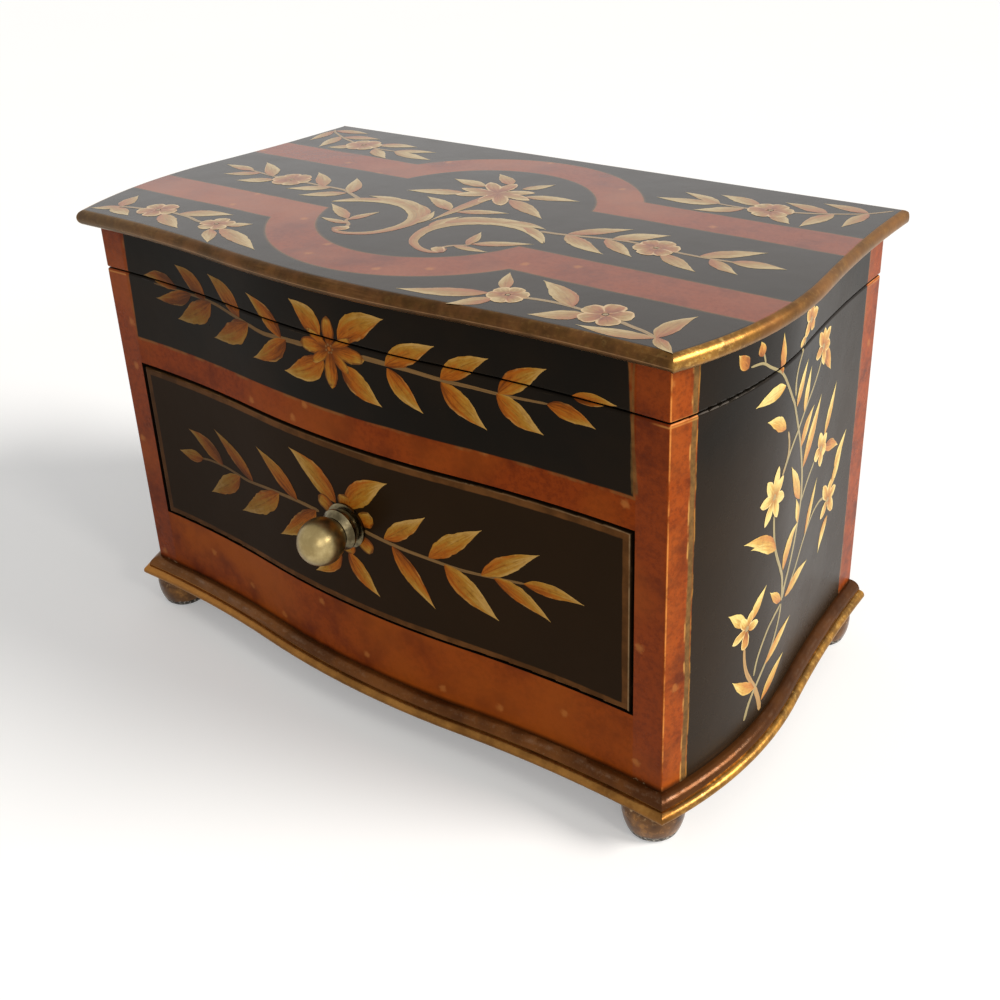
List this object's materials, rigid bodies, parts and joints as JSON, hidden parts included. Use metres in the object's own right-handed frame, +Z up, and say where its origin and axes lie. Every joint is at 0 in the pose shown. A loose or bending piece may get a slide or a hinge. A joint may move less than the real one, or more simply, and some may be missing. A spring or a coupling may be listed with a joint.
{
  "type": "jewelry chest",
  "caption": "Painted wooden jewelry chest with bowed front and sides, hinged lid over a lined well, and a drawer with a round knob, on turned feet.",
  "frame": {"origin": "on the floor, under the middle of the whole footprint, which runs from the front of the drawer knob to the back edge of the lid", "axes": "+X to the right as seen from the front, +Y to the back, +Z up; the drawer opens towards -Y"},
  "size_m": [0.287, 0.1808, 0.1809],
  "materials": {
    "black_lacquer": "satin painted lacquer with gilt ornament",
    "red_lacquer": "satin painted lacquer, mottled",
    "gilt": "worn gilding over dark ground",
    "foot_lacquer": "glossy dark brown",
    "inner_wood": "plain sanded",
    "brass": "brushed",
    "steel": "plated",
    "velvet": "short pile",
    "mirror": "silvered",
    "felt": "pressed felt"
  },
  "bodies": {
    "case": {"base_board": "inner_wood", "base_moulding_front": "gilt", "base_moulding_left": "gilt", "base_moulding_right": "gilt", "foot_front_left": "foot_lacquer", "foot_front_right": "foot_lacquer", "foot_back_left": "foot_lacquer", "foot_back_right": "foot_lacquer", "foot_pads": "felt", "case_post_front_left": "red_lacquer", "case_post_front_right": "red_lacquer", "case_post_back_left": "red_lacquer", "case_post_back_right": "red_lacquer", "case_side_left": "black_lacquer", "case_side_right": "black_lacquer", "case_back": "red_lacquer", "front_apron": "black_lacquer", "front_middle_rail": "red_lacquer", "front_bottom_rail": "red_lacquer", "drawer_shelf": "inner_wood", "drawer_wear_strips": "inner_wood", "drawer_stops": "inner_wood", "drawer_kickers": "inner_wood", "well_floor": "inner_wood", "well_lining_front": "velvet", "well_lining_back": "velvet", "well_lining_left": "velvet", "well_lining_right": "velvet", "well_divider": "velvet", "well_floor_pad": "velvet", "ring_rolls": "velvet", "hinge_case_leaf_left": "brass", "hinge_case_leaf_right": "brass", "hinge_pins": "brass", "hinge_case_screws": "brass"},
    "lid": {"lid_top": "black_lacquer", "lid_front": "black_lacquer", "lid_back": "red_lacquer", "lid_left": "black_lacquer", "lid_right": "black_lacquer", "lid_post_front_left": "red_lacquer", "lid_post_front_right": "red_lacquer", "lid_post_back_left": "red_lacquer", "lid_post_back_right": "red_lacquer", "lid_lining": "velvet", "lid_mirror": "mirror", "mirror_frame": "inner_wood", "hinge_lid_leaf_left": "brass", "hinge_lid_leaf_right": "brass", "hinge_lid_screws": "brass"},
    "drawer": {"drawer_front": "black_lacquer", "drawer_side_left": "inner_wood", "drawer_side_right": "inner_wood", "drawer_back": "inner_wood", "drawer_bottom": "inner_wood", "drawer_pad": "velvet", "drawer_knob": "brass", "knob_rose": "brass", "knob_screw": "steel"}
  },
  "joints": [
    {"name": "lid_hinge", "type": "hinge", "parent": "case", "child": "lid", "pos_m": [0, 0.08605, 0.15675], "axis": [-1, 0, 0], "range_deg": [0, 100]},
    {"name": "drawer_slide", "type": "slide", "parent": "case", "child": "drawer", "axis": [0, -1, 0], "range_m": [0, 0.085]}
  ]
}
